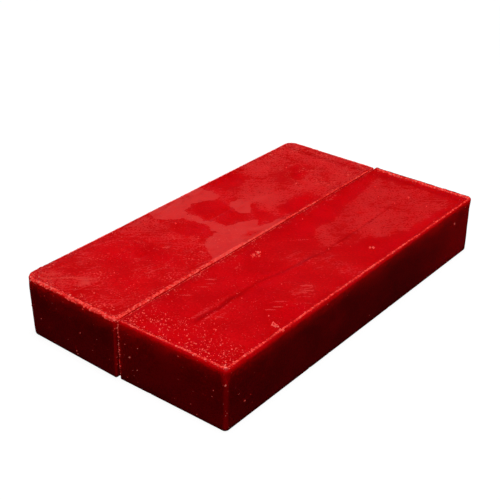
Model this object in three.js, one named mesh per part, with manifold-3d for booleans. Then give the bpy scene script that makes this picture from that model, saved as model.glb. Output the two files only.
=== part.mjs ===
// Two cast bars of a red, wax-like compound that lie side by side as a pair.
// Each bar is a plain block with draft, rounded upright corners and softened edges. It was poured
// into an open mould, so its top face is dished: the melt crept up the mould's wall and left a
// raised lip, and the right-hand bar sank along its middle as it cooled.
//
// Millimetres, +Z up, the long edges along Y. The origin is under the middle of the pair, at the
// level of the surface that it stands on.

import * as THREE from "three";
import { mergeVertices } from "three/addons/utils/BufferGeometryUtils.js";
import Module from "manifold-3d";

const wasm = await Module();
wasm.setup();

// Driving dimensions
const LENGTH = 200; // both bars, along Y, at the lip
const LEFT_WIDTH = 59.3;
const RIGHT_WIDTH = 61.3;
const HEIGHT = 29.9;
const SIDE_DRAFT = 1.5; // degrees, each long side: the base is narrower than the lip
const END_DRAFT = 0.3; // degrees, each end
const CORNER_RADIUS = 5; // upright corners
const EDGE_RADIUS = 1; // edges round the base and the lip

const LIP_CREST = 1.2; // from the side to where the lip starts to fall
const LIP_SLOPE = 3; // width of the fillet that falls from the crest to the dished face
const DISH_DEPTH = 0.8; // dished face below the crest

const SINK_LENGTH = 146; // shrinkage sink in the right bar
const SINK_WIDTH = 6;
const SINK_DEPTH = 0.7; // below the dished face
const SINK_OFFSET = -8; // its middle from the bar's middle, towards the near end
const SINK_TURN = 3.5; // degrees: its far end leans to the right

// How the pair lies
const FAR_GAP = 0.3; // between the bars' lips at the far end
const LEFT_YAW = 0.2; // degrees: the left bar is turned a little, so the gap widens to the near end
const RIGHT_SETBACK = 1; // the right bar lies this much further back

const CORNER_SEGMENTS = 6;
const EDGE_SEGMENTS = 3;

const SIDE_INSET = HEIGHT * Math.tan(THREE.MathUtils.degToRad(SIDE_DRAFT));
const END_INSET = HEIGHT * Math.tan(THREE.MathUtils.degToRad(END_DRAFT));

// A rectangle with round corners, centred on the origin.
function roundedRectangle(width, length, radius) {
  const x = width / 2;
  const y = length / 2;
  const shape = new THREE.Shape();
  shape.moveTo(-x + radius, -y);
  shape.lineTo(x - radius, -y);
  shape.absarc(x - radius, -y + radius, radius, -Math.PI / 2, 0);
  shape.lineTo(x, y - radius);
  shape.absarc(x - radius, y - radius, radius, 0, Math.PI / 2);
  shape.lineTo(-x + radius, y);
  shape.absarc(-x + radius, y - radius, radius, Math.PI / 2, Math.PI);
  shape.lineTo(-x, -y + radius);
  shape.absarc(-x + radius, -y + radius, radius, Math.PI, 1.5 * Math.PI);
  return shape;
}

function solidOf(geometry) {
  const bare = geometry.index ? geometry.toNonIndexed() : geometry.clone();
  bare.deleteAttribute("normal");
  bare.deleteAttribute("uv");
  const merged = mergeVertices(bare, 1e-4);
  return new wasm.Manifold(
    new wasm.Mesh({
      numProp: 3,
      vertProperties: merged.attributes.position.array,
      triVerts: new Uint32Array(merged.index.array),
    }),
  );
}

function geometryOf(solid) {
  const mesh = solid.getMesh();
  const geometry = new THREE.BufferGeometry();
  geometry.setAttribute("position", new THREE.BufferAttribute(mesh.vertProperties, 3));
  geometry.setIndex(new THREE.BufferAttribute(mesh.triVerts, 1));
  geometry.computeVertexNormals();
  return geometry;
}

// Narrows a block towards its base, where each side has moved in by SIDE_INSET or END_INSET.
function addDraft(geometry, width) {
  const position = geometry.getAttribute("position");
  for (let i = 0; i < position.count; i++) {
    const depth = 1 - position.getZ(i) / HEIGHT;
    position.setX(i, position.getX(i) * (1 - (SIDE_INSET * depth) / (width / 2)));
    position.setY(i, position.getY(i) * (1 - (END_INSET * depth) / (LENGTH / 2)));
  }
  return geometry;
}

// The block that fills the mould to the crest of the lip.
function blockSolid(width) {
  const shape = roundedRectangle(
    width - 2 * EDGE_RADIUS,
    LENGTH - 2 * EDGE_RADIUS,
    CORNER_RADIUS - EDGE_RADIUS,
  );
  const block = new THREE.ExtrudeGeometry(shape, {
    depth: HEIGHT - 2 * EDGE_RADIUS,
    curveSegments: CORNER_SEGMENTS,
    bevelThickness: EDGE_RADIUS,
    bevelSize: EDGE_RADIUS,
    bevelSegments: EDGE_SEGMENTS,
  });
  block.translate(0, 0, EDGE_RADIUS);
  return solidOf(addDraft(block, width));
}

// What is missing above the dished face. Its bevel is the fillet up to the lip.
function dishSolid(width) {
  const inset = LIP_CREST + LIP_SLOPE;
  const shape = roundedRectangle(width - 2 * inset, LENGTH - 2 * inset, CORNER_RADIUS);
  const dish = new THREE.ExtrudeGeometry(shape, {
    depth: DISH_DEPTH,
    curveSegments: CORNER_SEGMENTS,
    bevelThickness: DISH_DEPTH,
    bevelSize: LIP_SLOPE,
    bevelSegments: EDGE_SEGMENTS,
  });
  dish.translate(0, 0, HEIGHT);
  return solidOf(dish);
}

// The long shallow hollow along a bar's middle, where the compound shrank.
function sinkSolid() {
  const sink = new THREE.SphereGeometry(1, 20, 12);
  sink.scale(SINK_WIDTH / 2, SINK_LENGTH / 2, SINK_DEPTH);
  sink.rotateZ(-THREE.MathUtils.degToRad(SINK_TURN));
  sink.translate(0, SINK_OFFSET, HEIGHT - DISH_DEPTH);
  return solidOf(sink);
}

const waxRed = { color: 0xb4000c, roughness: 0.42, metalness: 0 };

function leftBar() {
  const solid = blockSolid(LEFT_WIDTH).subtract(dishSolid(LEFT_WIDTH));
  const bar = new THREE.Mesh(geometryOf(solid), new THREE.MeshStandardMaterial(waxRed));
  bar.name = "left_bar";
  const yaw = THREE.MathUtils.degToRad(LEFT_YAW);
  bar.rotation.z = -yaw;
  // The inner far corner stays FAR_GAP from the right bar's side, and the near end swings away.
  bar.position.x = -FAR_GAP - LEFT_WIDTH / 2 - (LENGTH / 2) * Math.sin(yaw);
  return bar;
}

function rightBar() {
  const solid = blockSolid(RIGHT_WIDTH).subtract(dishSolid(RIGHT_WIDTH)).subtract(sinkSolid());
  const bar = new THREE.Mesh(geometryOf(solid), new THREE.MeshStandardMaterial(waxRed));
  bar.name = "right_bar";
  bar.position.set(RIGHT_WIDTH / 2, RIGHT_SETBACK, 0);
  return bar;
}

// The pair, moved so that its bounding box is centred over the origin.
const pair = new THREE.Group();
pair.add(leftBar(), rightBar());
const middle = new THREE.Box3().setFromObject(pair, true).getCenter(new THREE.Vector3());
pair.position.set(-middle.x, -middle.y, 0);

export default pair;
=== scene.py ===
"""Two cast bars of translucent red wax that lie side by side.

Each bar replaces one CAD node. Its skin is one closed mesh of rings that run round the bar: out
over the base, up the sides, over the lip and in across the dished top face to the middle line.
Crumbs of the same wax sit on the skin. Lengths in the bars' own descriptions are in millimetres,
and the meshes are in metres.
"""

import itertools
import math

import bpy
import numpy as np
from mathutils import Matrix, Vector


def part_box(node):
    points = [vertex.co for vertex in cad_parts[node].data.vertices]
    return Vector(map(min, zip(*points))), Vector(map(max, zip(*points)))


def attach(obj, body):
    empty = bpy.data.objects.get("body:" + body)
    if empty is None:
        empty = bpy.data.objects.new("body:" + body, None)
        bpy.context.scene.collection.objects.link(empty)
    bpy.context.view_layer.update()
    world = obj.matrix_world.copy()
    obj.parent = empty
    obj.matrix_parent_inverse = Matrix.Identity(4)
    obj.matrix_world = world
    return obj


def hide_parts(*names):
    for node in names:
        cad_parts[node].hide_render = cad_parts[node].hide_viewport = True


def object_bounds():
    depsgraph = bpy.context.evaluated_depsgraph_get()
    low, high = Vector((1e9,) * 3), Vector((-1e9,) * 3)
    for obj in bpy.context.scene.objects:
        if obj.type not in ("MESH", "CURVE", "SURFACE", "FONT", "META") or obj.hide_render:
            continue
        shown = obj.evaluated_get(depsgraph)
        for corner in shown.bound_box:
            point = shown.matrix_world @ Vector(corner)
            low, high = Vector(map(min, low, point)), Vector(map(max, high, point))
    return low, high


MM = 0.001

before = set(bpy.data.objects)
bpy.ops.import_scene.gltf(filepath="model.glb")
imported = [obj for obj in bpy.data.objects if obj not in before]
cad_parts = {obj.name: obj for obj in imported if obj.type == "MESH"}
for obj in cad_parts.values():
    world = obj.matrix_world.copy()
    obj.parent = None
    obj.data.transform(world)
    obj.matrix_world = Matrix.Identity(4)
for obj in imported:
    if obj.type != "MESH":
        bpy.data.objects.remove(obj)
cad_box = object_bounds()

# The shape that both bars share
LEFT_YAW = math.radians(0.2)  # how far the left bar is turned, clockwise from above
SIDE_DRAFT = 0.8  # how far in each long side is at the base
END_DRAFT = 0.15  # how far in each end is at the base
BASE_ROUND = 0.6  # radius of the edge round the base
SEAM_DROP = 0.4  # how much lower the lip is on the side that faces the other bar
LIP_WIDTH = 1.1  # from the side to where the lip starts to fall
SLOPE_WIDTH = 3.0  # from there to the dished face
DISH_DEPTH = 0.8
CORNER_OPENING = (6, 0.5)  # below the top, from where to where the upright corners open out

# How many rings each part of a bar has
BASE_RINGS = 9
ROUND_RINGS = 6  # over the edge round the base, and over the lip's outer edge
WALL_RINGS = 26
WALL_CROWDING = 1.25  # above 1, the wall's rings stand closer together towards the lip
SLOPE_RINGS = 9
FACE_RINGS = 37
MIDDLE_GAP = 0.02  # from the last ring to the middle line

# How many columns each ring has
LONG_SAMPLES = 310
SHORT_SAMPLES = 84
CORNER_SAMPLES = 15

# Streaks and smears on the top faces run this way, from +X towards +Y
STREAK_ANGLE = math.radians(39)
STREAK_STRETCH = (0.07, 1, 0.3)
HAIRLINE_ANGLE = math.radians(72)  # a second set of fine scratches
HAIRLINE_STRETCH = (0.05, 0.8, 0.3)

# Masks of patches hold distances from an outline, up to this far
PATCH_REACH = 6.0
PATCH_WARP = 1.3  # how far the patches' outlines wander

GROOVE_MIDDLE = 0.515  # the groove's across where the bar's middle line is
PIT_COUNT = 70
CRUMBS_IN_CLUMP = 7
CRUMB_HEADROOM = 0.8 * MM  # how far crumbs may stand above the CAD box


# ------------------------------------------------------------------ numbers and noise


def smoothstep(low, high, x):
    """0 on the low side and 1 on the high side, with a smooth rise between. High may be the less."""
    t = np.clip((x - low) / (high - low), 0, 1)
    return t * t * (3 - 2 * t)


def bell(x, width):
    """1 at zero, falling away to nothing over about twice the width."""
    return np.exp(-((x / width) ** 2))


class Noise:
    """Smooth seeded noise of about -1 to 1, at points in millimetres."""

    CELLS = 32

    def __init__(self, seed):
        slopes = np.random.default_rng(seed).normal(size=(self.CELLS,) * 3 + (3,))
        self.slopes = slopes / np.linalg.norm(slopes, axis=-1, keepdims=True)

    def __call__(self, points, wavelength):
        scaled = points / wavelength
        cell = np.floor(scaled).astype(int)
        inside = scaled - cell
        fade = inside**3 * (inside * (inside * 6 - 15) + 10)
        total = np.zeros(len(scaled))
        for corner in itertools.product((0, 1), repeat=3):
            at = (cell + corner) % self.CELLS
            slope = self.slopes[at[:, 0], at[:, 1], at[:, 2]]
            rise = (slope * (inside - corner)).sum(axis=1)
            weight = np.where(corner, fade, 1 - fade).prod(axis=1)
            total += rise * weight
        return total * 1.6

    def layers(self, points, wavelength, count=3):
        """Several sizes of the noise, each half the size and the strength of the one before."""
        total = 0
        for layer in range(count):
            total = total + self(points + 17.3 * layer, wavelength / 2**layer) / 2**layer
        return total


def inside_distance(points, outline):
    """How far each point is inside a closed outline; negative outside it."""
    start = np.array(outline, float)
    end = np.roll(start, -1, axis=0)
    nearest = np.full(len(points), np.inf)
    crossings = np.zeros(len(points), int)
    for a, b in zip(start, end):
        along = np.clip(((points - a) @ (b - a)) / ((b - a) @ (b - a)), 0, 1)
        gap = np.linalg.norm(points - a - along[:, None] * (b - a), axis=1)
        nearest = np.minimum(nearest, gap)
        spans = (a[1] > points[:, 1]) != (b[1] > points[:, 1])
        rise = b[1] - a[1] if b[1] != a[1] else 1e-9
        crosses = points[:, 0] < a[0] + (b[0] - a[0]) * (points[:, 1] - a[1]) / rise
        crossings += spans & crosses
    return np.where(crossings % 2 == 1, nearest, -nearest)


# ------------------------------------------------------------------ what makes each bar different
#
# Places on a top face are (across, along): across goes from 0 at the left side to 1 at the right
# side, and along from 0 at the near end to 1 at the far end. Corners go anticlockwise from above:
# near right, far right, far left, near left. So do sides: right, far, left, near. "Pairs round the
# bar" give a value at the start and at the end of each side, in that order.

LEFT_BAR = {
    "node": "left_bar",
    "seed": 11,
    # Radii of the upright corners
    "corner_radii_base": (0.9, 0.9, 3.0, 5.2),
    "corner_radii_top": (1.2, 0.9, 5.6, 6.0),
    "seam_side": 0,  # the side that faces the other bar
    # Widths of the dark outermost edge that the light doesn't reach, or -1 for none: far, left
    "dark_rim": (0.6, 0.7),
    # Pairs round the bar: radius of the lip's outer edge
    "lip_round": ((0.4, 0.4), (0.9, 0.9), (0.9, 0.9), (1.0, 0.9)),
    # Pairs round the bar: how far each side is pushed out at its base and at its lip
    "push_base": ((0.8, 0.3), (0, 0), (0, -0.3), (-0.15, 0.55)),
    "push_top": ((0.45, 0.0), (0, 0), (0, 0.2), (-0.9, -0.3)),
    # Pairs round the bar: how crumbly the lip is, and how broad
    "lip_roughness": ((0.8, 0.3), (0.5, 0.4), (0.4, 0.5), (0.9, 1.0)),
    "lip_breadth": ((1.6, 1.1), (1.0, 0.9), (0.8, 0.8), (1.3, 2.2)),
    # How far the near lip's crumbs hang over its edge, from 0 to 1
    "ragged_lip": 1.0,
    # Sharp-edged pale patches: a film on the wax, with painted sheen
    "film_and_sheen": [
        # the big patch by the left side
        ((-0.02, 0.41), (-0.02, 0.6), (0.12, 0.61), (0.25, 0.605), (0.26, 0.575), (0.17, 0.52),
         (0.21, 0.485), (0.29, 0.465), (0.27, 0.43), (0.13, 0.405)),
        # a small one behind the dark cloud
        ((0.4, 0.6), (0.46, 0.625), (0.55, 0.628), (0.62, 0.6), (0.67, 0.575), (0.62, 0.56),
         (0.46, 0.575), (0.4, 0.59)),
        # the strip between the cloud and the lobe
        ((0.2, 0.49), (0.24, 0.47), (0.45, 0.475), (0.6, 0.485), (0.7, 0.49), (0.7, 0.455),
         (0.62, 0.44), (0.5, 0.458), (0.3, 0.45)),
        # the brushed patch by the seam
        ((0.72, 0.53), (0.8, 0.56), (0.88, 0.535), (0.95, 0.605), (1.02, 0.6), (1.02, 0.33),
         (0.86, 0.355), (0.78, 0.37), (0.71, 0.4), (0.68, 0.48)),
    ],
    # Clean dark patches
    "clean": [
        # cloud
        ((0.2, 0.55), (0.28, 0.58), (0.42, 0.578), (0.5, 0.565), (0.64, 0.565), (0.71, 0.548),
         (0.66, 0.52), (0.62, 0.488), (0.46, 0.48), (0.3, 0.49), (0.22, 0.51)),
        # triangle
        ((0.57, 0.615), (0.78, 0.608), (0.87, 0.535), (0.74, 0.57)),
        # the small one by the seam
        ((0.87, 0.5), (0.95, 0.515), (0.96, 0.48), (0.91, 0.465), (0.87, 0.48)),
        # lobe
        ((0.26, 0.42), (0.33, 0.44), (0.46, 0.455), (0.57, 0.44), (0.68, 0.437), (0.69, 0.41),
         (0.66, 0.39), (0.56, 0.4), (0.46, 0.375), (0.33, 0.39)),
        # far patches
        ((0.02, 0.7), (0.12, 0.73), (0.24, 0.715), (0.3, 0.66), (0.16, 0.62), (0.03, 0.63)),
        ((0.78, 0.68), (0.86, 0.75), (0.97, 0.77), (0.97, 0.65), (0.9, 0.61), (0.82, 0.65)),
        ((0.4, 0.86), (0.46, 0.89), (0.55, 0.87), (0.58, 0.83), (0.5, 0.81), (0.42, 0.83)),
    ],
    # How deep and how pale the face's colour is overall, from 0 to 1
    "shade": 0,
    "paleness": 0.14,
    # A soft-edged region that is paler still: painted sheen over a bloom on the wax
    "bloom_and_sheen": [((-0.1, 0.64), (1.1, 0.6), (1.1, 1.1), (-0.1, 1.1))],
    "bloom_and_sheen_paleness": 0.16,
    # Soft places with more painted sheen and film or, if negative, less:
    # (across, along, radius across, radius along, amount)
    "haze": (
        (0.1, 0.36, 0.2, 0.035, 0.3),
        (0.55, 0.67, 0.2, 0.04, 0.3),
        (0.43, 0.075, 0.05, 0.018, 0.75),
        (0.16, 0.04, 0.16, 0.03, 0.3),
        (0.55, 0.27, 0.3, 0.03, -0.16),
        (0.3, 0.2, 0.2, 0.04, -0.14),
        (0.7, 0.14, 0.2, 0.04, -0.12),
        (0.48, 0.85, 0.12, 0.05, -0.4),
        (0.08, 0.7, 0.12, 0.05, -0.35),
        (0.88, 0.7, 0.1, 0.07, -0.4),
    ),
    # How thickly specks lie on the face: overall, near the near end, near the far end
    "specks": (0.75, 1.0, 1.0),
    # Smears along the streak direction: (across, along, length, width)
    "smears": (
        (0.32, 0.075, 14, 1.4),
        (0.4, 0.085, 12, 1.3),
        (0.26, 0.06, 10, 1.2),
        (0.12, 0.05, 12, 1.2),
        (0.18, 0.035, 10, 1.2),
        (0.44, 0.075, 5, 3.0),
        (0.53, 0.31, 5, 1.4),
    ),
    # Pale band along the seam side: (along where it ends, width)
    "seam_band": (0.47, 2.8),
    "groove": None,
    # Small heaps of crumbs: (across, along, size)
    "clumps": ((0.31, 0.415, 0.6),),
    "crumb_count": 500,
    "crumb_field": 0.25,  # how thickly crumbs lie on the face by the near end
}

RIGHT_BAR = {
    "node": "right_bar",
    "seed": 23,
    "corner_radii_base": (2.0, 4.6, 0.9, 0.9),
    "corner_radii_top": (3.8, 3.6, 0.9, 1.4),
    "seam_side": 2,
    "dark_rim": (1.3, -1),
    "lip_round": ((2.0, 0.9), (0.7, 0.7), (0.4, 0.4), (0.8, 2.2)),
    "push_base": ((0.2, -0.1), (0, 0), (0, 0.3), (1.1, -0.1)),
    "push_top": ((-0.5, -0.5), (0, 0), (0, 0), (-0.3, -1.4)),
    "lip_roughness": ((0.6, 0.35), (0.4, 0.4), (0.2, 0.35), (0.45, 0.6)),
    "lip_breadth": ((1.3, 1.2), (2.8, 3.0), (0.5, 0.6), (0.8, 1.2)),
    "ragged_lip": 0.0,
    "film_and_sheen": [],
    "clean": [
        # strip beside the seam
        ((-0.02, 0.93), (0.08, 0.93), (0.17, 0.87), (0.2, 0.8), (0.22, 0.72), (0.3, 0.69),
         (0.27, 0.6), (0.3, 0.56), (0.15, 0.5), (-0.02, 0.48)),
        # teardrop
        ((0.66, 0.6), (0.72, 0.665), (0.8, 0.67), (0.81, 0.62), (0.74, 0.585), (0.68, 0.575)),
        # strip by the right side
        ((0.86, 0.8), (0.89, 0.93), (0.96, 0.94), (0.97, 0.62), (0.9, 0.6), (0.88, 0.7)),
    ],
    "shade": 0.14,
    "paleness": 0.03,
    "bloom_and_sheen": [
        ((0.12, 0.955), (0.19, 0.86), (0.21, 0.74), (0.28, 0.7), (0.24, 0.61), (0.36, 0.57),
         (0.47, 0.54), (0.56, 0.56), (0.66, 0.6), (0.68, 0.655), (0.78, 0.685), (0.85, 0.73),
         (0.86, 0.82), (0.9, 0.94), (0.6, 0.965)),
    ],
    "bloom_and_sheen_paleness": 0.27,
    "haze": (
        (0.3, 0.87, 0.12, 0.05, 0.2),
        (0.66, 0.72, 0.1, 0.05, 0.3),
        (0.4, 0.63, 0.1, 0.05, 0.2),
        (0.7, 0.5, 0.22, 0.05, 0.22),
        (0.35, 0.47, 0.2, 0.05, 0.12),
        (0.75, 0.35, 0.14, 0.05, 0.15),
        (0.38, 0.17, 0.03, 0.06, 0.12),
        (0.51, 0.16, 0.03, 0.06, 0.1),
        (0.7, 0.16, 0.2, 0.06, 0.05),
        (0.2, 0.2, 0.12, 0.07, 0.06),
        (0.85, 0.27, 0.08, 0.03, -0.12),
    ),
    "specks": (0.5, 0.9, 0.6),
    "smears": (
        (0.13, 0.26, 8, 1.0),
        (0.17, 0.245, 7, 0.8),
        (0.16, 0.225, 7, 0.9),
        (0.14, 0.175, 9, 0.9),
        (0.74, 0.375, 9, 1.3),
        (0.79, 0.36, 8, 1.2),
        (0.77, 0.345, 8, 1.0),
        (0.72, 0.285, 9, 1.0),
        (0.75, 0.265, 8, 1.0),
        (0.73, 0.245, 8, 0.9),
        (0.86, 0.31, 14, 0.6),
        (0.6, 0.36, 12, 0.5),
        (0.28, 0.54, 24, 0.5),
        (0.25, 0.525, 22, 0.4),
        (0.92, 0.41, 6, 0.6),
    ),
    "seam_band": (0.5, 0.8),
    # Shrinkage groove along the middle: (across, along, depth), where across is GROOVE_MIDDLE at
    # the middle line
    "groove": (
        (0.427, 0.09, 0.0),
        (0.43, 0.12, 0.5),
        (0.435, 0.2, 0.65),
        (0.436, 0.27, 0.5),
        (0.442, 0.33, 0.35),
        (0.478, 0.37, 0.4),
        (0.497, 0.42, 0.5),
        (0.522, 0.48, 0.5),
        (0.548, 0.53, 0.45),
        (0.552, 0.65, 0.4),
        (0.546, 0.73, 0.35),
        (0.528, 0.82, 0.2),
        (0.5, 0.86, 0.0),
    ),
    "clumps": (
        (0.165, 0.42, 1.0),
        (0.15, 0.405, 0.8),
        (0.19, 0.41, 0.7),
        (0.13, 0.425, 0.6),
        (0.88, 0.205, 1.0),
        (0.9, 0.2, 0.8),
        (0.965, 0.195, 0.9),
        (0.8, 0.615, 0.8),
        (0.55, 0.9, 0.5),
    ),
    "crumb_count": 900,
    "crumb_field": 1.0,
}


def bar_size(bar):
    """The bar's centre on the floor, its width, length and height in millimetres, and its yaw."""
    low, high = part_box(bar["node"])
    size = (high - low) / MM
    centre = (low + high) / 2
    yaw = 0
    if bar is LEFT_BAR:
        # The box round a turned bar is larger than the bar, and less so where its ends are round
        yaw = -LEFT_YAW
        turn = math.sin(LEFT_YAW)
        size.x, size.y = size.x - size.y * turn, size.y - size.x * turn / 2
    return Vector((centre.x, centre.y, 0)), size, yaw


class Surface:
    """A bar's skin. Every array has one row for each ring and one column for each place round it."""

    def __init__(self, bar):
        self.bar = bar
        self.centre, (self.width, self.length, self.height), self.yaw = bar_size(bar)
        self.noise = Noise(bar["seed"])
        self.lay_out_columns()
        self.lay_out_rings()
        self.shape_sides()
        self.shape_top()

    def lay_out_columns(self):
        """Corner number, part of the way through its arc or the side after it, for each column."""
        arc = np.linspace(0, 1, CORNER_SAMPLES + 1)
        long_side = np.linspace(0, 1, LONG_SAMPLES + 1)[1:-1]
        short_side = np.linspace(0, 1, SHORT_SAMPLES + 1)[1:-1]
        corner, on_arc, part = [], [], []
        for number in range(4):
            side = long_side if number % 2 == 0 else short_side
            corner += [number] * (len(arc) + len(side))
            on_arc += [True] * len(arc) + [False] * len(side)
            part += [*arc, *side]
        self.corner = np.array(corner)
        self.on_arc = np.array(on_arc)
        self.part = np.array(part)

    def outline(self, radii):
        """The full-size outline: x, y and the outward direction of every column."""
        half_x, half_y = self.width / 2, self.length / 2
        sign_x, sign_y = np.array([1, 1, -1, -1]), np.array([-1, 1, 1, -1])
        middle_x = sign_x * (half_x - radii)
        middle_y = sign_y * (half_y - radii)

        def arc_point(corner, part):
            angle = (corner - 1 + part) * math.pi / 2
            x = middle_x[corner] + radii[corner] * np.cos(angle)
            y = middle_y[corner] + radii[corner] * np.sin(angle)
            return x, y, angle

        following = (self.corner + 1) % 4
        arc_x, arc_y, arc_angle = arc_point(self.corner, self.part)
        from_x, from_y, side_angle = arc_point(self.corner, 1.0)
        to_x, to_y, _ = arc_point(following, 0.0)
        x = np.where(self.on_arc, arc_x, from_x + (to_x - from_x) * self.part)
        y = np.where(self.on_arc, arc_y, from_y + (to_y - from_y) * self.part)
        angle = np.where(self.on_arc, arc_angle, side_angle)
        return x, y, np.cos(angle), np.sin(angle)

    def list_rings(self, crest_height, lip_round):
        """Each ring's part of the bar, height, inset of its outline, and inset from that outline."""
        half = self.width / 2
        level = 0 * crest_height
        quarter = np.linspace(0, math.pi / 2, ROUND_RINGS)
        base_inset = SIDE_DRAFT + BASE_ROUND
        rings = []
        for part in np.linspace(0.02, 0.97, BASE_RINGS):
            rings.append(("base", level, BASE_ROUND, (half - base_inset) * (1 - part)))
        for angle in quarter:
            z = BASE_ROUND * (1 - math.cos(angle))
            rings.append(("side", z + level, BASE_ROUND * (1 - math.sin(angle)), 0))
        wall_height = crest_height - lip_round - BASE_ROUND
        for part in np.linspace(0, 1, WALL_RINGS + 2)[1:-1]:
            z = BASE_ROUND + wall_height * (1 - (1 - part) ** WALL_CROWDING)
            rings.append(("side", z, 0, 0))
        for angle in quarter:
            z = crest_height - lip_round * (1 - math.sin(angle))
            part = "side" if angle < math.pi / 4 else "top"
            rings.append((part, z, lip_round * (1 - math.cos(angle)), 0))
        slope_end = LIP_WIDTH + SLOPE_WIDTH
        for part in np.linspace(0, 1, SLOPE_RINGS + 2)[1:-1]:
            rings.append(("top", crest_height, lip_round, part * (slope_end - lip_round)))
        for part in np.linspace(0, 1, FACE_RINGS + 1)[:-1]:
            inset = slope_end + (half - slope_end) * part
            rings.append(("top", crest_height, lip_round, inset - lip_round))
        rings.append(("top", crest_height, lip_round, half - lip_round - MIDDLE_GAP))
        return rings

    def lay_out_rings(self):
        """The plain bar, with draft and round edges, and with its top still flat."""
        seam = np.zeros((4, 2))
        seam[self.bar["seam_side"]] = 1
        seam = self.round_the_bar(seam)
        lip_round = self.round_the_bar(self.bar["lip_round"])
        rings = self.list_rings(self.height - SEAM_DROP * seam, lip_round)

        base_radii = np.array(self.bar["corner_radii_base"])
        top_radii = np.array(self.bar["corner_radii_top"])
        half = self.width / 2
        spine = self.length / 2 - half
        opening_start, opening_end = (self.height - below for below in CORNER_OPENING)
        shape = (len(rings), len(self.corner))
        self.x, self.y, self.z, self.out_x, self.out_y, self.inset = (
            np.zeros(shape) for _ in range(6)
        )
        self.on_base, self.on_top = np.zeros(shape, bool), np.zeros(shape, bool)
        for row, (part, z, rounding, inward) in enumerate(rings):
            opening = smoothstep(opening_start, opening_end, float(np.max(z)))
            radii = base_radii + (top_radii - base_radii) * opening
            x, y, out_x, out_y = self.outline(radii)
            low = 1 - z / self.height
            x = x * (1 - SIDE_DRAFT * low / half) - out_x * rounding
            y = y * (1 - END_DRAFT * low / (self.length / 2)) - out_y * rounding
            half_here = half - SIDE_DRAFT * low - rounding
            towards = 1 - inward / half_here
            spine_y = np.clip(y, -spine, spine)
            self.x[row] = x * towards
            self.y[row] = spine_y + (y - spine_y) * towards
            self.z[row] = z
            self.out_x[row], self.out_y[row] = out_x, out_y
            self.on_base[row] = part == "base"
            self.on_top[row] = part == "top"
            self.inset[row] = inward + rounding if part == "top" else 0
        self.drop = SEAM_DROP * np.broadcast_to(seam, shape)
        self.lip_round = np.broadcast_to(lip_round, shape)

    def points(self):
        return np.stack([self.x, self.y, self.z], axis=-1).reshape(-1, 3)

    def sample(self, wavelength, count=3, shift=0.0):
        """Noise on the skin. The shift picks a part of the noise that nothing else uses."""
        return self.noise.layers(self.points() + shift, wavelength, count).reshape(self.x.shape)

    def round_the_bar(self, pairs):
        """A value that runs from the first to the second of each pair along that side."""
        pairs = np.array(pairs, float)
        first = pairs[self.corner, 0]
        second = pairs[self.corner, 1]
        before = pairs[self.corner - 1, 1]
        start = np.where(self.on_arc, before, first)
        end = np.where(self.on_arc, first, second)
        return start + (end - start) * self.part

    def shape_sides(self):
        """Slight unevenness of the mould's walls, and small chips out of the edge round the base."""
        wave = 0.22 * self.sample(48, 2) + 0.05 * self.sample(9, 2, 50.0)
        steady = smoothstep(0, 4, self.z) * (1 - smoothstep(2.0, 6.0, self.inset))
        steady = steady * (1 - 0.85 * self.drop / SEAM_DROP)
        chips = smoothstep(0.45, 0.95, self.sample(5, 2, 80.0))
        base_edge = bell(self.z - BASE_ROUND, 1.2) * (self.inset == 0)
        push = wave * steady - 0.35 * chips * base_edge
        self.x += self.out_x * push
        self.y += self.out_y * push
        self.z += np.where(self.on_base, 0, 0.2 * chips * base_edge)
        self.push_walls()

    def push_walls(self):
        """Moves each wall out or in, and draws the top and the base near it along."""
        high = self.z / self.height
        across = self.x / self.width
        along = self.y / self.length
        right, far, left, near = (
            (base[0] + (base[1] - base[0]) * part) * (1 - high)
            + (top[0] + (top[1] - top[0]) * part) * high
            for base, top, part in zip(
                self.bar["push_base"],
                self.bar["push_top"],
                (0.5 + along, 0.5 - across, 0.5 - along, 0.5 + across),
            )
        )
        self.x += right * smoothstep(0.0, 0.5, across) - left * smoothstep(0.0, 0.5, -across)
        self.y += far * smoothstep(0.35, 0.5, along) - near * smoothstep(0.35, 0.5, -along)

    def shape_top(self):
        """The lip, the dished face and what has happened to it."""
        self.rough = np.broadcast_to(self.round_the_bar(self.bar["lip_roughness"]), self.x.shape)
        wander = 0.5 * self.sample(14, 2, 30.0)
        slope_start = LIP_WIDTH + 0.35 * wander
        slope_end = slope_start + SLOPE_WIDTH * (1 + 0.4 * wander)
        fall = smoothstep(slope_start, slope_end, self.inset)
        dish = DISH_DEPTH * (1 + 0.25 * self.sample(60, 1, 7.0))
        face = smoothstep(2.5, 8, self.inset)
        wave = 0.2 * self.sample(42, 2, 3.0) + 0.05 * self.sample(11, 2, 12.0)
        ripple = 0.02 * self.sample(2.8, 2, 21.0)
        lift = -fall * (dish - self.drop) + face * (wave + ripple)

        # A second, lower ridge where the surface froze while the level was still sinking
        second_ridge = bell(self.inset - 3.6 - wander, 0.7)
        lift += 0.16 * second_ridge * smoothstep(-0.1, 0.5, self.sample(22, 1, 90.0))

        lift += self.crumbly_lip()
        self.groove_shade = self.groove_highlights = np.zeros(self.x.shape)
        if self.bar["groove"]:
            lift += self.groove()
        lift += self.pits() * face
        self.z += np.where(self.on_top, lift, 0)

    def crumbly_lip(self):
        """How far the lip is raised. On a ragged lip, crumbs also push out and hang over the edge."""
        grain = self.sample(1.5, 2, 60.0)
        lumps = self.sample(4.5, 2, 70.0)
        breadth = self.round_the_bar(self.bar["lip_breadth"])
        middle = 0.7 * self.lip_round + 0.3 * breadth
        crest = bell(self.inset - middle, 0.6 * breadth) * (self.inset > 0)
        lift = crest * self.rough * (0.4 * grain + 0.4 * lumps)

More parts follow.
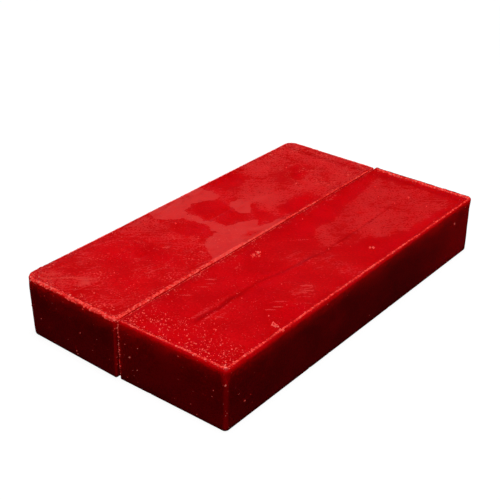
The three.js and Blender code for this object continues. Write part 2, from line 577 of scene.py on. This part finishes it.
        near_side = smoothstep(0.3, 0.48, -self.y / self.length) * (self.drop < 0.1)
        near_side = near_side * self.bar["ragged_lip"]
        crest_height = self.height - self.drop
        rim = bell(self.z - crest_height, 1.2) * (self.inset <= 1) * ~self.on_base
        ragged = np.clip(0.3 * grain + 0.3 * lumps, -0.1, 0.3) * self.rough * rim * near_side
        self.x += self.out_x * ragged
        self.y += self.out_y * ragged
        below = (crest_height - self.lip_round) - self.z
        hang = smoothstep(0.2, -0.5, below - 0.7 * grain - 0.4 * lumps)
        overhang = self.rough * hang * near_side
        # Strongest on the lumps, for the dry crumbs and for the painted highlight along the crest
        crumbly = crest * (1 + 0.45 * grain + 0.35 * lumps)
        self.crest = np.where((self.inset == 0) & ~self.on_base, overhang, crumbly)
        return lift + crest * 0.12 * self.sample(20, 2, 75.0)

    def groove(self):
        """How far the shrinkage groove raises or lowers the face, and the masks of the painted shade
        down it and the painted highlights on its shoulders.
        """
        across, along, depth = np.array(self.bar["groove"]).T
        y = (along - 0.5) * self.length
        middle = np.interp(self.y, y, (across - GROOVE_MIDDLE) * self.width)
        deep = np.interp(self.y, y, depth)
        middle += 0.5 * self.sample(9, 2, 33.0)
        off = self.x - middle
        wavering = deep * (1 + 0.5 * self.sample(12, 2, 44.0))
        along_here = self.y / self.length + 0.5
        line_width = 0.75 + 0.5 * smoothstep(0.35, 0.25, along_here)
        # Painted shade down the groove's line, and painted highlights on its shoulders
        self.groove_shade = np.clip(1.5 * wavering * bell(off, line_width), 0, 0.8)
        shoulders = bell(np.abs(off) - 2.4, 0.6) * smoothstep(0.35, 0.1, along_here)
        self.groove_highlights = np.clip(0.35 * wavering * shoulders, 0, 1)
        return deep * (0.35 * bell(off, 4.2) - 1.1 * bell(off, 1.5) - 0.25 * bell(off, 7))

    def pits(self):
        """Small round pits all over the face."""
        random = np.random.default_rng(self.bar["seed"] + 1)
        total = np.zeros(self.x.shape)
        for _ in range(PIT_COUNT):
            x = random.uniform(-0.46, 0.46) * self.width
            y = random.uniform(-0.48, 0.48) * self.length
            radius = random.uniform(0.5, 1.1)
            total -= 0.3 * radius * bell(np.hypot(self.x - x, self.y - y), radius)
        return total

    def on_face(self, place):
        """A place on the top face, as x and y in millimetres."""
        return ((place[0] - 0.5) * self.width, (place[1] - 0.5) * self.length)

    def faces(self):
        """The skin's quads, and the two long faces that close it along the middle lines."""
        rings, columns = self.x.shape
        index = np.arange(rings * columns).reshape(rings, columns)
        after = np.roll(index, -1, axis=1)
        quads = np.stack([index[:-1], after[:-1], after[1:], index[1:]], axis=-1).reshape(-1, 4)
        return [*quads, list(index[0][::-1]), list(index[-1])]

    def to_row_frame(self, points):
        """The bar's own millimetres turned into the part's metres."""
        turned = Matrix.Rotation(self.yaw, 3, "Z")
        return points * MM @ np.array(turned).T + np.array(self.centre)


# ------------------------------------------------------------------ what the material reads


class Masks:
    """Numbers for each vertex of a bar's skin: distances in millimetres, and strengths."""

    def __init__(self, surface):
        self.surface = surface
        self.bar = surface.bar
        self.width, self.length = surface.width, surface.length
        self.top = surface.on_top.ravel()
        self.inset = surface.inset.ravel()
        self.on_side = (self.inset == 0) & (surface.z.ravel() > 1)
        self.flat = surface.points()[:, :2]
        self.along = self.flat[:, 1] / self.length + 0.5
        self.from_far = self.length / 2 - self.flat[:, 1]
        self.from_left = self.width / 2 + self.flat[:, 0]
        inner = 1 if self.bar is LEFT_BAR else -1
        self.from_seam = self.width / 2 - inner * self.flat[:, 0]
        warp_x = PATCH_WARP * surface.sample(7, 3, 5.0).ravel()
        warp_y = PATCH_WARP * surface.sample(7, 3, 105.0).ravel()
        self.warped = self.flat + np.stack([warp_x, warp_y], axis=-1)

    def patches(self, outlines):
        """How far each vertex is inside the nearest of several outlines."""
        deepest = np.full(len(self.flat), -PATCH_REACH)
        for outline in outlines:
            corners = [self.surface.on_face(place) for place in outline]
            deepest = np.maximum(deepest, inside_distance(self.warped, corners))
        return np.where(self.top, np.clip(deepest, -PATCH_REACH, PATCH_REACH), -PATCH_REACH)

    def pale(self):
        """Thin bloom and haze on the face in soft places: partly a pale film and partly painted
        sheen.
        """
        bloom_and_sheen = smoothstep(-2.5, 2.5, self.patches(self.bar["bloom_and_sheen"]))
        pale = self.bar["paleness"] + self.bar["bloom_and_sheen_paleness"] * bloom_and_sheen
        for across, along, radius_across, radius_along, amount in self.bar["haze"]:
            x, y = self.surface.on_face((across, along))
            off = np.hypot(
                (self.warped[:, 0] - x) / (radius_across * self.width),
                (self.warped[:, 1] - y) / (radius_along * self.length),
            )
            pale = pale + amount * bell(off, 1.0)
        # Painted highlights along the groove's shoulders
        pale = pale + self.surface.groove_highlights.ravel()
        return np.where(self.top, np.clip(pale, 0, 1) * smoothstep(0.6, 2.0, self.inset), 0)

    def smear(self):
        """How far inside a smear: thin lens shapes along the streak direction, slightly bent."""
        smear = np.full(len(self.flat), -PATCH_REACH)
        direction = np.array([math.cos(STREAK_ANGLE), math.sin(STREAK_ANGLE)])
        for across, along, length, width in self.bar["smears"]:
            off = self.flat - self.surface.on_face((across, along))
            lengthwise = off @ direction
            sideways = off @ (-direction[1], direction[0])
            sideways = sideways + 0.02 * lengthwise**2 * np.sign(across - 0.5)
            inside = width * (1 - (np.abs(lengthwise) / (length / 2)) ** 2) / 2
            smear = np.maximum(smear, inside - np.abs(sideways))
        return np.where(self.top, smear, -PATCH_REACH)

    def turned_away(self):
        """The outermost edge at the far side and the left side, which no light reaches."""
        far_width, left_width = self.bar["dark_rim"]
        far = smoothstep(far_width, far_width - 0.5, self.from_far)
        left = smoothstep(left_width, left_width - 0.5, self.from_left)
        return np.maximum(far, left)

    def lip(self):
        """The dry, broken lip with a painted highlight along its crest, and a paler band of it along
        the seam.
        """
        lip = self.surface.crest.ravel() * (0.45 + 0.55 * self.surface.rough.ravel())
        band_end, band_width = self.bar["seam_band"]
        before_end = 1 - smoothstep(band_end - 0.04, band_end, self.along)
        band = (1 - smoothstep(band_width * 0.7, band_width, self.from_seam)) * before_end
        lip = np.maximum(lip, 0.5 * band * self.top)
        return lip * (1 - self.turned_away())

    def shade(self):
        """Painted shade behind the far lip, in the groove and on the edges turned away, and the bar's
        own even depth of colour.
        """
        shade = 0.45 * bell(self.from_far - 6.5, 2.0) * smoothstep(2.5, 5, self.inset)
        shade = np.maximum(shade, self.surface.groove_shade.ravel())
        shade = np.maximum(self.bar["shade"], shade)
        return np.maximum(shade, self.turned_away()) * self.top

    def specks(self):
        """How thickly specks lie on the face and, evenly, on the sides."""
        overall, near_end, far_end = self.bar["specks"]
        specks = overall * smoothstep(0.75, 0.35, self.along)
        specks = specks + far_end * smoothstep(0.6, 0.85, self.along)
        specks = np.maximum(specks, near_end * smoothstep(0.22, 0.02, self.along))
        if self.bar is RIGHT_BAR:
            specks = np.maximum(specks, 0.9 * bell(self.from_seam - 2, 3))
        return np.where(self.top, specks, 0.4)

    def glow(self):
        """Painted light, given off as emission: a painted highlight down the near upright corners,
        where thin wax passes light on, and two more places.
        """
        surface = self.surface
        near_corner = surface.on_arc & ((surface.corner == 0) | (surface.corner == 3))
        round_corner = np.where(near_corner, np.sin(math.pi * surface.part), 0)
        glow = np.broadcast_to(round_corner, surface.x.shape).ravel() * self.on_side
        if self.bar is RIGHT_BAR:
            # A soft painted patch of light on the right side
            at = np.array([self.width / 2, -0.12 * self.length, 0.5 * surface.height])
            off = np.linalg.norm((surface.points() - at) / (6, 9, 5), axis=1)
            glow = np.maximum(glow, 0.35 * bell(off, 1.0) * self.on_side)
            # A painted highlight along the far lip
            before_side = smoothstep(0.5, 0.47, self.flat[:, 0] / self.width)
            rim = 1.5 * bell(self.from_far - 2.1, 0.8) * self.top * before_side
            glow = np.maximum(glow, rim)
        return glow

    def table(self):
        """Every mask, by the name of the attribute that holds it."""
        return {
            "glow": self.glow(),
            "film_and_sheen": self.patches(self.bar["film_and_sheen"]),
            "clean": self.patches(self.bar["clean"]),
            "pale": self.pale(),
            "smear": self.smear(),
            "lip": self.lip(),
            "shade": self.shade(),
            "specks": self.specks(),
            "top": smoothstep(0.4, 1.2, self.inset),
        }


def new_object(name, points, faces, body=None):
    """A smooth mesh. With a body, it is a piece of wax that rides on that body."""
    mesh = bpy.data.meshes.new(name)
    mesh.from_pydata([tuple(p) for p in points], [], [tuple(map(int, f)) for f in faces])
    mesh.validate()
    mesh.polygons.foreach_set("use_smooth", [True] * len(mesh.polygons))
    obj = bpy.data.objects.new(name, mesh)
    bpy.context.scene.collection.objects.link(obj)
    if body:
        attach(obj, body)
    return obj


def make_bar(surface, material):
    """The bar's closed skin."""
    node = surface.bar["node"]
    points = surface.to_row_frame(surface.points())
    obj = new_object(node + "_wax", points, surface.faces(), node)
    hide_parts(node)
    for name, values in Masks(surface).table().items():
        layer = obj.data.attributes.new(name, "FLOAT", "POINT")
        layer.data.foreach_set("value", np.ascontiguousarray(values, dtype=np.float32))
    obj.data.materials.append(material)


# ------------------------------------------------------------------ crumbs


def chunk():
    """A small lump with 20 flat sides, as corners at a distance of 1 and triangles."""
    phi = (1 + 5**0.5) / 2
    corners = []
    for a, b in itertools.product((-1, 1), (-phi, phi)):
        corners += [(0, a, b), (a, b, 0), (b, 0, a)]
    corners = np.array(corners) / math.hypot(1, phi)
    sides = []
    edge = 2 / math.hypot(1, phi) * 1.01
    for i, j, k in itertools.combinations(range(12), 3):
        a, b, c = corners[[i, j, k]]
        if max(np.linalg.norm(a - b), np.linalg.norm(b - c), np.linalg.norm(c - a)) < edge:
            outward = np.dot(np.cross(b - a, c - a), a) > 0
            sides.append((i, j, k) if outward else (i, k, j))
    return corners, sides


def crumb_density(surface):
    """How likely a crumb is at each vertex: on the lip, the near end, the face and the sides."""
    inset = surface.inset.ravel()
    near = surface.y.ravel() / surface.length + 0.5
    on_side = (inset == 0) & (surface.z.ravel() > 1)
    field = smoothstep(0.16, 0.02, near) * (inset > 1)
    density = surface.rough.ravel() ** 2 * surface.crest.ravel()
    density += 0.08 * surface.bar["crumb_field"] * field
    density += 0.004 * (inset > 1)
    density += 0.012 * on_side * (near < 0.1)
    density += 0.001 * on_side
    if surface.bar is RIGHT_BAR:
        chipped = np.broadcast_to((surface.corner == 3) & surface.on_arc, surface.x.shape)
        density += 0.3 * on_side * chipped.ravel()
    # Rings stand closer together in some places than in others, so each vertex counts by its area
    steps = np.gradient(surface.points().reshape(surface.x.shape + (3,)), axis=0)
    density = density * np.linalg.norm(steps, axis=-1).ravel()
    return density / density.sum()


def crumb_places(surface, random):
    """Where each crumb sits and how large it is."""
    skin = surface.points()
    inset = surface.inset.ravel()
    near = surface.y.ravel() / surface.length + 0.5
    on_side = (inset == 0) & (surface.z.ravel() > 1)
    seats = random.choice(len(skin), surface.bar["crumb_count"], p=crumb_density(surface))
    sizes = (0.1 + 0.28 * random.random(len(seats)) ** 4) * (1 + 0.5 * on_side[seats])
    sizes = sizes * (1 + 0.4 * smoothstep(0.08, 0.02, near[seats]) * ~on_side[seats])
    places = [(skin[seat], size) for seat, size in zip(seats, sizes)]
    below_top = ~surface.on_top.ravel()
    for across, along, size in surface.bar["clumps"]:
        for _ in range(CRUMBS_IN_CLUMP):
            spot = np.array(surface.on_face((across, along))) + random.normal(0, size * 0.7, 2)
            distance = np.linalg.norm(skin[:, :2] - spot, axis=1)
            nearest = np.argmin(distance + surface.length * below_top)
            places.append((skin[nearest], size * random.uniform(0.35, 0.75)))
    return places


def make_crumbs(surface, material):
    """Loose and half-set crumbs of wax, seated on the skin's own vertices, as one mesh."""
    random = np.random.default_rng(surface.bar["seed"] + 2)
    places = crumb_places(surface, random)
    corners, sides = chunk()
    points, faces = [], []
    for place, size in places:
        shape = corners * random.uniform(0.6, 1.15, (12, 1)) * size
        shape = shape * random.uniform(0.6, 1.3, 3)
        turn = Matrix.Rotation(random.uniform(0, 2 * math.pi), 3, Vector(random.normal(size=3)))
        shape = shape @ np.array(turn) + place + (0, 0, size * 0.15)
        faces += [tuple(len(points) + corner for corner in side) for side in sides]
        points += list(shape)
    node = surface.bar["node"]
    points = surface.to_row_frame(np.array(points))
    points[:, 2] = np.minimum(points[:, 2], cad_box[1].z + CRUMB_HEADROOM)
    obj = new_object(node + "_crumbs", points, faces, node)
    obj.data.polygons.foreach_set("use_smooth", [False] * len(obj.data.polygons))
    obj.data.materials.append(material)


# ------------------------------------------------------------------ materials

WAX = (0.86, 0.0006, 0.006, 1)
DEEP_WAX = (0.68, 0.0003, 0.003, 1)
# Painted shade for the shade mask, and the darkest for the edges turned away from the light
SHADED_WAX = (0.48, 0.0001, 0.002, 1)
PAINTED_EDGE_SHADE = (0.1, 0.0, 0.001, 1)
# Pale film with painted sheen
FILM_AND_SHEEN = (0.87, 0.036, 0.034, 1)
# Dry broken wax with a painted highlight on it, and its palest parts
DRY_WAX_AND_HIGHLIGHT = (1.0, 0.07, 0.05, 1)
PALEST_WAX = (1.0, 0.22, 0.17, 1)
CRUMB = (1.0, 0.05, 0.04, 1)
PALE_CRUMB = (1.0, 0.22, 0.18, 1)

WAX_IOR = 1.44
SCATTER = (1.0, 0.06, 0.05)
SCATTER_DISTANCE = 8 * MM
GLOSSIEST, MATTEST = 0.22, 0.6  # roughness of clean wax and of the palest wax
# Emission strengths of the painted glow on the lip and in the glow mask
PAINTED_LIP_GLOW = 0.6
PAINTED_CORNER_GLOW = 0.055


class Shader:
    """Short ways to add nodes. A value may be a number, a colour or another node's output."""

    def __init__(self, name):
        self.material = bpy.data.materials.new(name)
        self.material.use_nodes = True
        self.tree = self.material.node_tree
        self.tree.nodes.clear()

    def add(self, kind, inputs=(), output=0, **settings):
        node = self.tree.nodes.new("ShaderNode" + kind)
        for key, value in settings.items():
            setattr(node, key, value)
        for key, value in dict(inputs).items():
            if isinstance(value, bpy.types.NodeSocket):
                self.tree.links.new(value, node.inputs[key])
            else:
                node.inputs[key].default_value = value
        return node.outputs[output] if len(node.outputs) else node

    def plus(self, a, b):
        return self.add("Math", {0: a, 1: b}, operation="ADD")

    def minus(self, a, b):
        return self.add("Math", {0: a, 1: b}, operation="SUBTRACT")

    def times(self, a, b, clamp=False):
        return self.add("Math", {0: a, 1: b}, operation="MULTIPLY", use_clamp=clamp)

    def larger(self, a, b, clamp=False):
        return self.add("Math", {0: a, 1: b}, operation="MAXIMUM", use_clamp=clamp)

    def mask(self, name):
        return self.add("Attribute", output="Fac", attribute_name=name)

    def millimetres(self):
        place = self.add("TexCoord", output="Object")
        return self.add("VectorMath", {0: place, "Scale": 1 / MM}, operation="SCALE")

    def noise(self, place, wavelength, detail=2.0, roughness=0.5):
        inputs = {"Vector": place, "Scale": 1 / wavelength, "Detail": detail, "Roughness": roughness}
        return self.add("TexNoise", inputs)

    def centred(self, noise, amount):
        """A noise that runs from 0 to 1, moved to run from minus to plus half the amount."""
        return self.times(self.minus(noise, 0.5), amount)

    def step(self, value, low, high, to_low=0.0, to_high=1.0):
        """A smooth step from one value to another, as the input goes from low to high."""
        inputs = {0: value, 1: low, 2: high, 3: to_low, 4: to_high}
        return self.add("MapRange", inputs, interpolation_type="SMOOTHSTEP")

    def dots(self, place, spacing):
        """The distance to the nearest of many scattered points."""
        inputs = {"Vector": place, "Scale": 1 / spacing, "Randomness": 1.0}
        return self.add("TexVoronoi", inputs, feature="F1")

    def stretched(self, place, angle, scale):
        """The place, turned so that X runs at an angle, and then scaled."""
        turned = self.add("Mapping", {"Vector": place, "Rotation": (0, 0, -angle)})
        return self.add("VectorMath", {0: turned, 1: scale}, operation="MULTIPLY")

    def blend(self, part, first, second):
        inputs = {0: part, 6: first, 7: second}
        return self.add("Mix", inputs, output=2, data_type="RGBA")

    def wax(self, inputs):
        settings = {"IOR": WAX_IOR, "Subsurface Radius": SCATTER}
        return self.add("BsdfPrincipled", {**settings, **inputs})

    def finish(self, shader):
        self.add("OutputMaterial", {"Surface": shader})
        return self.material


def hairlines(s, place, angle):
    """Fine curved scratches that run roughly at an angle."""
    bend = s.add("VectorMath", {0: s.noise(place, 14.0, 1), "Scale": 1.5}, operation="SCALE")
    straight = s.stretched(place, angle, HAIRLINE_STRETCH)
    bent = s.add("VectorMath", {0: straight, 1: bend}, operation="ADD")
    return s.step(s.noise(bent, 1.0, 2, 0.6), 0.57, 0.68)


def specks(s, place, spacing, patch):
    """Small specks in patches, as thick as the mask says."""
    size = s.step(s.noise(place, patch, 3, 0.7), 0.38, 0.68, 0.0, 0.38)
    size = s.times(size, s.mask("specks"))
    return s.step(s.minus(size, s.dots(place, spacing)), -0.04, 0.06)


def paleness(s, place, fine, medium, broad, smear):
    """How much film, bloom and haze there is on the face, from 0 to 1: partly a pale film and partly
    painted sheen.
    """
    ragged = s.plus(s.centred(fine, 1.6), s.centred(medium, 2.6))
    film_and_sheen = s.step(s.plus(s.mask("film_and_sheen"), ragged), -0.3, 0.4)
    clean = s.step(s.plus(s.mask("clean"), ragged), -0.9, 1.5)

    # Mottling: cloudy, brushed and grainy, about 1 on average
    clouds = s.plus(s.centred(medium, 0.8), s.centred(broad, 1.0))
    cloudy = s.step(clouds, -0.36, 0.36, 0.15, 1.85)
    streaks = s.noise(s.stretched(place, STREAK_ANGLE, STREAK_STRETCH), 0.8, 3, 0.6)
    brushed = s.step(streaks, 0.35, 0.65, 0.75, 1.25)
    grainy = s.step(fine, 0.36, 0.64, 0.4, 1.6)
    pale = s.times(s.mask("pale"), s.times(s.times(cloudy, brushed), grainy))

    # Scratches show more where there is bloom and painted sheen for them to cut
    scratches = [hairlines(s, place, angle) for angle in (STREAK_ANGLE, HAIRLINE_ANGLE)]
    scratched = s.times(s.larger(*scratches), s.mask("top"))
    pale = s.plus(pale, s.times(scratched, s.step(s.mask("pale"), 0.0, 0.3, 0.07, 0.35)))

    film_and_sheen_mottle = s.times(brushed, s.step(fine, 0.3, 0.7, 0.8, 1.15))
    film_and_sheen_mottle = s.times(film_and_sheen_mottle, s.step(medium, 0.38, 0.56, 0.55, 1.2))
    pale = s.larger(pale, s.times(film_and_sheen, s.times(film_and_sheen_mottle, 0.85)))
    pale = s.times(pale, s.minus(1.0, s.times(clean, 0.6)))
    pale = s.larger(pale, s.times(smear, 0.65))
    return s.times(pale, s.minus(1.0, s.mask("shade")), clamp=True)


def wax_material():
    s = Shader("cast_wax")
    place = s.millimetres()
    fine = s.noise(place, 1.0, 3, 0.6)
    medium = s.noise(place, 3.6, 5, 0.7)
    broad = s.noise(place, 17.0, 4, 0.6)
    smear = s.step(s.plus(s.mask("smear"), s.centred(fine, 0.7)), -0.15, 0.25)
    pale = paleness(s, place, fine, medium, broad, smear)

    # Lumps where the lip is dry and broken, with a painted highlight on its crest, and specks and
    # smears of the same
    lumpy = s.step(s.dots(place, 1.25), 0.65, 0.15, 0.25, 1.0)
    lip = s.plus(s.mask("lip"), s.times(s.mask("top"), s.centred(fine, 0.8)))
    lip = s.times(s.step(lip, 0.25, 0.6), s.step(s.mask("lip"), 0.02, 0.15))
    lip = s.times(lip, lumpy)
    speck = s.larger(specks(s, place, 1.4, 9.0), specks(s, place, 0.8, 5.0))
    speck = s.times(speck, s.step(s.mask("top"), 0.0, 1.0, 0.22, 0.9))
    dry_and_highlight = s.larger(s.larger(lip, speck), s.times(smear, 0.3), clamp=True)

    depth = s.plus(s.centred(broad, 1.5), s.centred(fine, 1.5))
    colour = s.blend(s.step(depth, -0.3, 0.3), DEEP_WAX, WAX)
    # Pale film with painted sheen, and painted highlights on the groove's shoulders
    colour = s.blend(pale, colour, FILM_AND_SHEEN)
    # Painted shade, as the shade mask says
    colour = s.blend(s.mask("shade"), colour, SHADED_WAX)
    # The darkest painted shade, on the edges turned away from the light
    colour = s.blend(s.step(s.mask("shade"), 0.85, 1.0), colour, PAINTED_EDGE_SHADE)
    # Dry broken wax with a painted highlight
    broken_and_highlight = s.blend(s.step(s.noise(place, 1.3, 3, 0.6), 0.5, 0.68), DRY_WAX_AND_HIGHLIGHT, PALEST_WAX)
    colour = s.blend(dry_and_highlight, colour, broken_and_highlight)

    matt = s.larger(pale, s.times(dry_and_highlight, 0.5), clamp=True)
    opaque = s.larger(s.times(pale, 0.6), dry_and_highlight, clamp=True)

    # Painted glow, given off as emission: on the lip's dry lumps, and where the glow mask marks
    # painted highlights and light
    glow = s.plus(s.times(lip, PAINTED_LIP_GLOW), s.times(s.mask("glow"), PAINTED_CORNER_GLOW))

    height = s.plus(s.times(pale, 0.06), s.times(dry_and_highlight, 0.15))
    height = s.plus(height, s.times(medium, 0.10))
    height = s.plus(height, s.times(fine, 0.05))
    height = s.plus(height, s.times(s.times(lip, lumpy), 0.6))
    shader = s.wax(
        {
            "Base Color": colour,
            "Roughness": s.step(matt, 0.0, 1.0, GLOSSIEST, MATTEST),
            "Specular IOR Level": 0.22,
            "Emission Color": colour,
            "Emission Strength": glow,
            "Subsurface Weight": s.step(opaque, 0.0, 1.0, 1.0, 0.1),
            "Subsurface Scale": SCATTER_DISTANCE,
            "Normal": s.add("Bump", {"Height": height, "Strength": 0.7, "Distance": 1 * MM}),
        }
    )
    return s.finish(shader)


def crumb_material():
    s = Shader("wax_crumbs")
    place = s.millimetres()
    tone = s.step(s.noise(place, 1.6, 2), 0.35, 0.65)
    colour = s.blend(tone, CRUMB, PALE_CRUMB)
    bumps = {"Height": s.noise(place, 0.3, 2), "Strength": 0.4, "Distance": 0.3 * MM}
    shader = s.wax(
        {
            "Base Color": colour,
            "Roughness": 0.45,
            "Specular IOR Level": 0.15,
            # Painted glow: the crumbs give off a little light in their own colour
            "Emission Color": colour,
            "Emission Strength": 0.2,
            "Subsurface Weight": 0.3,
            "Subsurface Scale": 1 * MM,
            "Normal": s.add("Bump", bumps),
        }
    )
    return s.finish(shader)


# ------------------------------------------------------------------ stage, lights and camera

FLOOR_RADIUS = 3.0
WALL_HEIGHT = 3.0
WALL_BEND = 0.8  # radius where the floor curves up into the wall
BEND_STEPS = 8
FLOOR_COLUMNS = 64
FLOOR_DROP = 0.2 * MM  # below the bars, so that the two never lie in one plane


def make_stage():
    """A pale floor that curves up into a wall all round. It doesn't light the bars."""
    flat_radius = FLOOR_RADIUS - WALL_BEND
    profile = [(1.0, 0.0), (flat_radius, 0.0)]
    for step in range(1, BEND_STEPS + 1):
        angle = step / BEND_STEPS * math.pi / 2
        height = WALL_BEND * (1 - math.cos(angle))
        profile.append((flat_radius + WALL_BEND * math.sin(angle), height))
    profile.append((FLOOR_RADIUS, WALL_HEIGHT))
    points, faces = [], []
    for radius, height in profile:
        for column in range(FLOOR_COLUMNS):
            angle = 2 * math.pi * column / FLOOR_COLUMNS
            points.append((radius * math.cos(angle), radius * math.sin(angle), height))
    for row in range(len(profile) - 1):
        for column in range(FLOOR_COLUMNS):
            a = row * FLOOR_COLUMNS + column
            b = row * FLOOR_COLUMNS + (column + 1) % FLOOR_COLUMNS
            faces.append((a, a + FLOOR_COLUMNS, b + FLOOR_COLUMNS, b))
    faces.append(tuple(range(FLOOR_COLUMNS)))
    obj = new_object("studio_floor", points, faces)
    obj.location.z = -FLOOR_DROP
    s = Shader("pale_floor")
    diffuse = s.add("BsdfDiffuse", {"Color": (0.9, 0.9, 0.9, 1)})
    glow = s.add("Emission", {"Color": (1, 1, 1, 1), "Strength": 1.1})
    obj.data.materials.append(s.finish(s.add("MixShader", {0: 0.85, 1: diffuse, 2: glow})))
    obj.visible_diffuse = False
    obj.visible_glossy = False
    obj.visible_transmission = False


def area_light(name, place, target, size, power, spread=180.0):
    """A round light that faces a target. Power in watts, spread in degrees."""
    light = bpy.data.lights.new(name, "AREA")
    light.shape = "DISK"
    light.size = size
    light.energy = power
    light.spread = math.radians(spread)
    obj = bpy.data.objects.new(name, light)
    obj.location = place
    obj.rotation_mode = "QUATERNION"
    obj.rotation_quaternion = (Vector(place) - Vector(target)).to_track_quat("Z", "Y")
    bpy.context.scene.collection.objects.link(obj)


def make_lights():
    """A softbox overhead lights the tops. A weak fill and a narrow kicker lift the dark sides."""
    world = bpy.data.worlds.new("dark_world")
    world.use_nodes = True
    world.node_tree.nodes["Background"].inputs["Color"].default_value = (0.01, 0.01, 0.01, 1)
    bpy.context.scene.world = world
    middle = (0, 0, 0)
    far_right_base = (0.06, 0.105, 0.01)
    area_light("overhead_softbox", (0.0, 0.05, 1.5), middle, size=0.6, power=17.2)
    area_light("front_fill", (0.65, -0.8, 0.6), middle, size=0.6, power=0.55)
    area_light(
        "side_kicker", (0.6, -0.2, 0.06), far_right_base, size=0.05, power=0.0011, spread=9
    )


def make_camera():
    """Looks down at the near right corner, from a little over two bar lengths away."""
    azimuth, elevation, roll = (math.radians(a) for a in (39.59, 29.26, -0.385))
    distance = 0.5017
    low, high = cad_box
    middle = (low + high) / 2
    target = Vector((middle.x + 0.0039, middle.y - 0.0149, high.z - 0.0009))
    back = Vector(
        (
            math.sin(azimuth) * math.cos(elevation),
            -math.cos(azimuth) * math.cos(elevation),
            math.sin(elevation),
        )
    )
    right = Vector((math.cos(azimuth), math.sin(azimuth), 0))
    up = back.cross(right)
    turned_right = right * math.cos(roll) + up * math.sin(roll)
    turned_up = back.cross(turned_right)
    camera = bpy.data.cameras.new("camera")
    camera.sensor_width = 36
    camera.lens = 75.53
    obj = bpy.data.objects.new("camera", camera)
    axes = Matrix((turned_right, turned_up, back)).transposed()
    obj.matrix_world = Matrix.Translation(target + back * distance) @ axes.to_4x4()
    bpy.context.scene.collection.objects.link(obj)
    bpy.context.scene.camera = obj


# ------------------------------------------------------------------ the scene

wax = wax_material()
crumbs = crumb_material()
for bar in (LEFT_BAR, RIGHT_BAR):
    surface = Surface(bar)
    make_bar(surface, wax)
    make_crumbs(surface, crumbs)
make_stage()
make_lights()
make_camera()
bpy.context.scene.view_settings.view_transform = "Standard"

bpy.context.view_layer.update()
